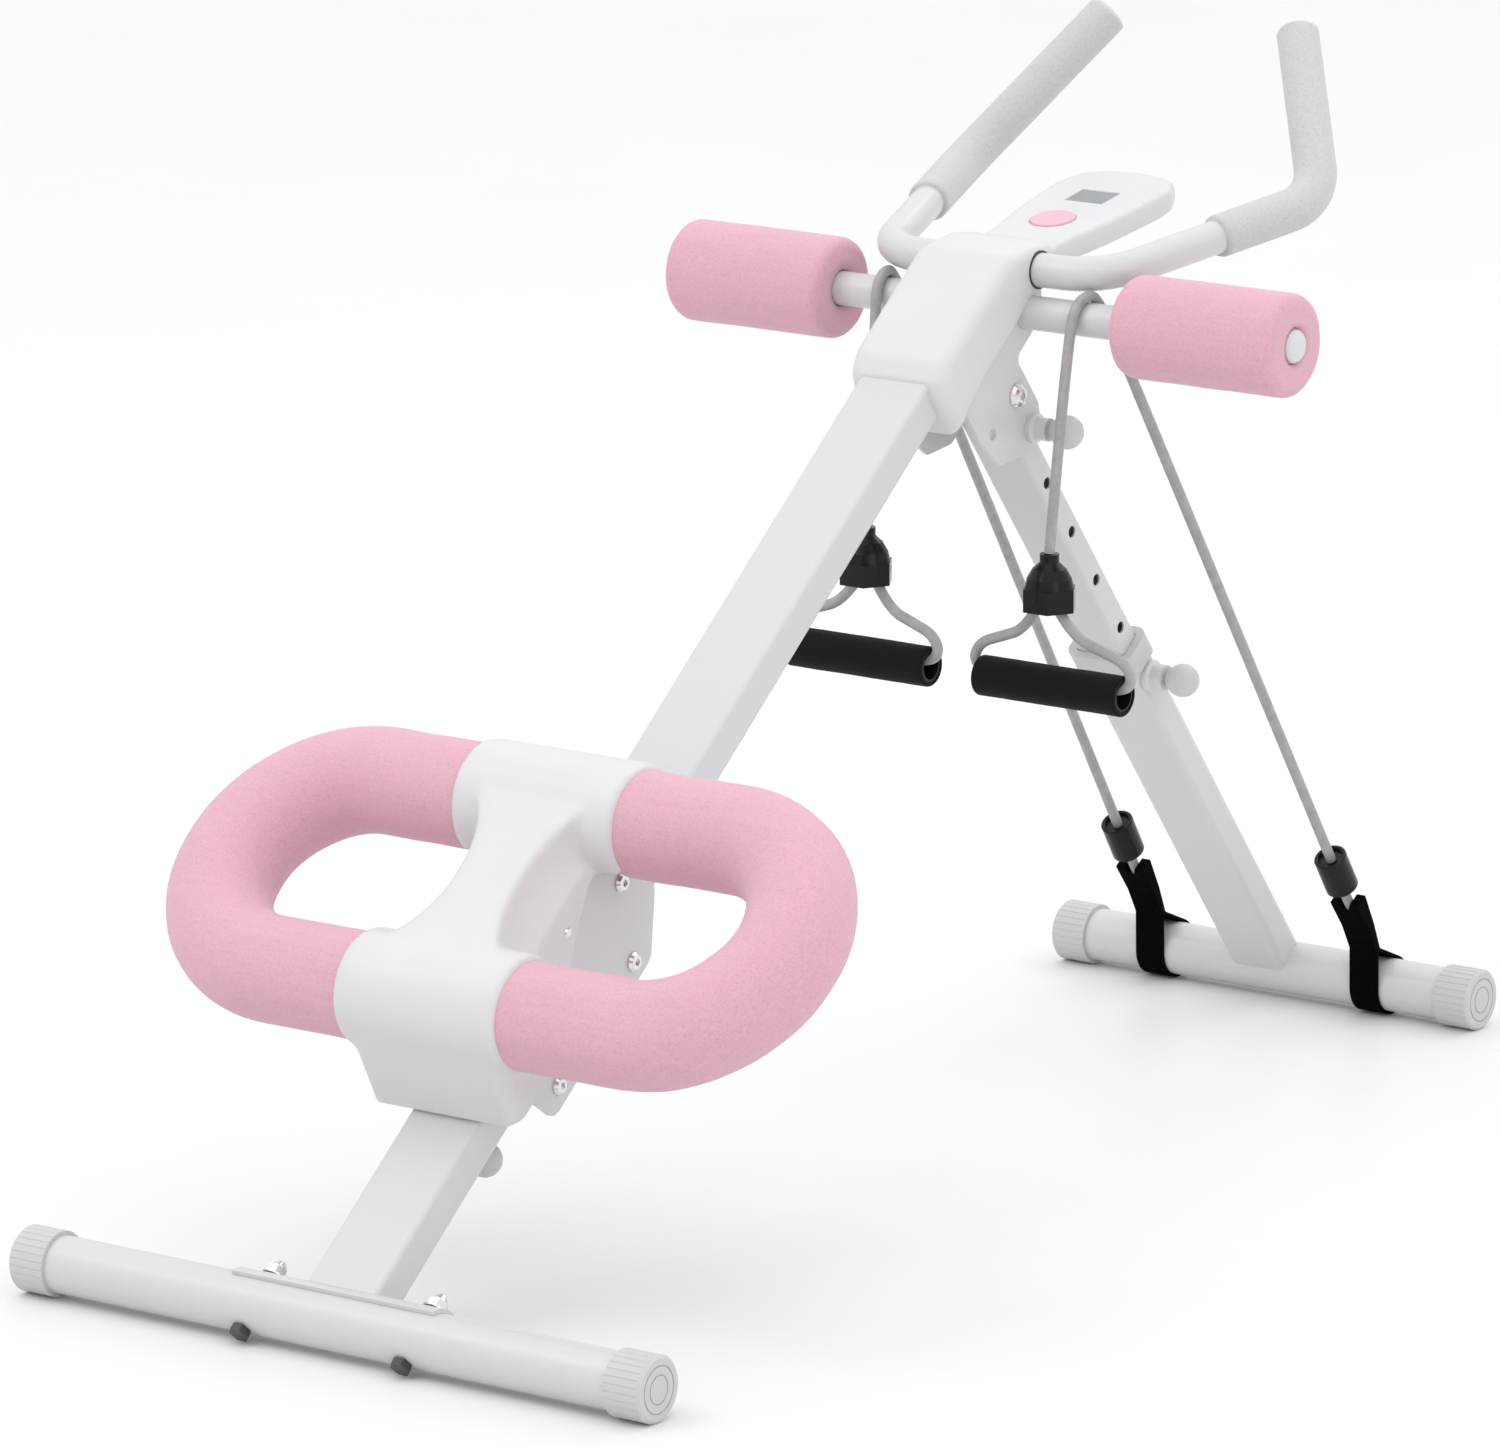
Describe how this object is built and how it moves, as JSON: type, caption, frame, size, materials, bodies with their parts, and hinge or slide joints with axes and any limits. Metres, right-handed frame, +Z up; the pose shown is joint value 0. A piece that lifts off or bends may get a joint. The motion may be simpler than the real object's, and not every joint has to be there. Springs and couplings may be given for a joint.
{
  "type": "ab crunch machine",
  "caption": "Folding abdominal exercise frame: sloped rail with a rolling padded knee carriage, padded foot rollers, curved handlebars, console and elastic hand bands.",
  "frame": {"origin": "on the floor, midway between the front and rear floor tubes and on the machine's middle plane", "axes": "+X to the right of a person kneeling on the carriage, +Y from the low front foot to the rear foot under the head, +Z up"},
  "size_m": [0.549, 1.2309, 0.7896],
  "materials": {
    "white_frame": "gloss",
    "white_plastic": "satin",
    "grey_plastic": "satin",
    "pink_foam": "matte",
    "grey_foam": "matte",
    "black_foam": "matte",
    "black_plastic": "gloss",
    "dark_plastic": "satin",
    "black_rubber": "matte",
    "cord_grey": "satin",
    "webbing": "matte",
    "bright_steel": "polished",
    "black_steel": "satin",
    "display_grey": "gloss",
    "pink_plastic": "gloss",
    "board_green": "satin",
    "white_poly": "satin"
  },
  "bodies": {
    "frame": {"front_floor_tube": "white_frame", "front_end_caps": "grey_plastic", "saddle_plate": "white_frame", "foot_bolts": "black_steel", "foot_nuts": "bright_steel", "main_rail": "white_frame", "head_bracket": "white_frame", "cross_tube": "white_frame", "cross_tube_plugs": "white_plastic", "handlebars": "white_frame", "handlebar_foams": "grey_foam", "handlebar_joiner": "black_steel", "pivot_bolt": "bright_steel", "pivot_nut": "bright_steel", "pivot_bushes": "white_poly", "pull_pin_housings": "white_frame", "carriage_bumpers": "black_rubber", "head_casing": "white_plastic", "console_underside": "white_plastic", "console_display": "display_grey", "console_board": "board_green", "console_battery": "bright_steel", "bar_grommets": "dark_plastic", "band_cups": "black_plastic", "band_grips": "black_foam", "grip_liners": "black_plastic", "left_band_cord": "cord_grey", "left_handle_cord": "cord_grey", "right_band_cord": "cord_grey", "right_handle_cord": "cord_grey"},
    "upper_leg": {"leg_inner_tube": "white_frame", "left_band_cord_upper": "cord_grey", "right_band_cord_upper": "cord_grey"},
    "lower_leg": {"leg_outer_tube": "white_frame", "leg_collar": "grey_plastic", "rear_floor_tube": "white_frame", "rear_end_caps": "grey_plastic", "height_pin_housing": "white_frame", "band_straps": "webbing", "band_barrels": "black_plastic", "left_band_cord_lower": "cord_grey", "right_band_cord_lower": "cord_grey"},
    "height_pin": {"height_pull_pin": "grey_plastic"},
    "fold_pin": {"fold_pull_pin": "grey_plastic"},
    "carriage_pin": {"carriage_pull_pin": "grey_plastic"},
    "carriage": {"carriage_frame": "white_frame", "knee_tubes": "white_frame", "right_knee_foam": "pink_foam", "left_knee_foam": "pink_foam", "carriage_cover": "white_plastic", "cover_screws": "bright_steel", "axle_bolts": "bright_steel", "axle_nuts": "bright_steel"},
    "upper_front_roller": {"upper_front_wheel": "dark_plastic"},
    "upper_rear_roller": {"upper_rear_wheel": "dark_plastic"},
    "lower_front_roller": {"lower_front_wheel": "dark_plastic"},
    "lower_rear_roller": {"lower_rear_wheel": "dark_plastic"},
    "left_foot_roller": {"left_roller_foam": "pink_foam"},
    "right_foot_roller": {"right_roller_foam": "pink_foam"},
    "button": {"console_button": "pink_plastic"}
  },
  "joints": [
    {"name": "leg_fold", "type": "hinge", "parent": "frame", "child": "upper_leg", "pos_m": [0, 0.1792, 0.54319], "axis": [1, 0, 0], "range_deg": [-90, 0], "deforming": ["left_band_cord_upper", "right_band_cord_upper", "left_handle_cord", "right_handle_cord"]},
    {"name": "leg_extension", "type": "slide", "parent": "upper_leg", "child": "lower_leg", "axis": [0, -0.6214, 0.7835], "range_m": [0, 0.216], "deforming": ["left_band_cord_lower", "right_band_cord_lower"]},
    {"name": "height_pin_pull", "type": "slide", "parent": "lower_leg", "child": "height_pin", "axis": [1, 0, 0], "range_m": [0, 0.009], "stiffness_N_per_m": 800, "springref_m": -0.008},
    {"name": "fold_pin_pull", "type": "slide", "parent": "frame", "child": "fold_pin", "axis": [1, 0, 0], "range_m": [0, 0.009], "stiffness_N_per_m": 800, "springref_m": -0.008},
    {"name": "carriage_pin_pull", "type": "slide", "parent": "frame", "child": "carriage_pin", "axis": [0, 0.6214, -0.7835], "range_m": [0, 0.009], "stiffness_N_per_m": 800, "springref_m": -0.008},
    {"name": "carriage_travel", "type": "slide", "parent": "frame", "child": "carriage", "axis": [0, 0.7835, 0.6214], "range_m": [0, 0.38]},
    {"name": "upper_front_roll", "type": "hinge", "parent": "carriage", "child": "upper_front_roller", "pos_m": [0, -0.44458, 0.17633], "axis": [1, 0, 0], "continuous": true},
    {"name": "upper_rear_roll", "type": "hinge", "parent": "carriage", "child": "upper_rear_roller", "pos_m": [0, -0.31452, 0.27948], "axis": [1, 0, 0], "continuous": true},
    {"name": "lower_front_roll", "type": "hinge", "parent": "carriage", "child": "lower_front_roller", "pos_m": [0, -0.38815, 0.15024], "axis": [1, 0, 0], "continuous": true},
    {"name": "lower_rear_roll", "type": "hinge", "parent": "carriage", "child": "lower_rear_roller", "pos_m": [0, -0.3004, 0.21984], "axis": [1, 0, 0], "continuous": true},
    {"name": "left_foot_roll", "type": "hinge", "parent": "frame", "child": "left_foot_roller", "pos_m": [0, 0.19112, 0.60332], "axis": [1, 0, 0], "continuous": true},
    {"name": "right_foot_roll", "type": "hinge", "parent": "frame", "child": "right_foot_roller", "pos_m": [0, 0.19112, 0.60332], "axis": [1, 0, 0], "continuous": true},
    {"name": "button_press", "type": "slide", "parent": "frame", "child": "button", "axis": [0, 0.1736, -0.9848], "range_m": [0, 0.0012], "stiffness_N_per_m": 1500, "springref_m": -0.0008}
  ],
  "couplings": [
    {"joint": "upper_front_roll", "follows": "carriage_travel", "rad_per_m": -74.074},
    {"joint": "upper_rear_roll", "follows": "carriage_travel", "rad_per_m": -74.074},
    {"joint": "lower_front_roll", "follows": "carriage_travel", "rad_per_m": 83.333},
    {"joint": "lower_rear_roll", "follows": "carriage_travel", "rad_per_m": 83.333}
  ]
}
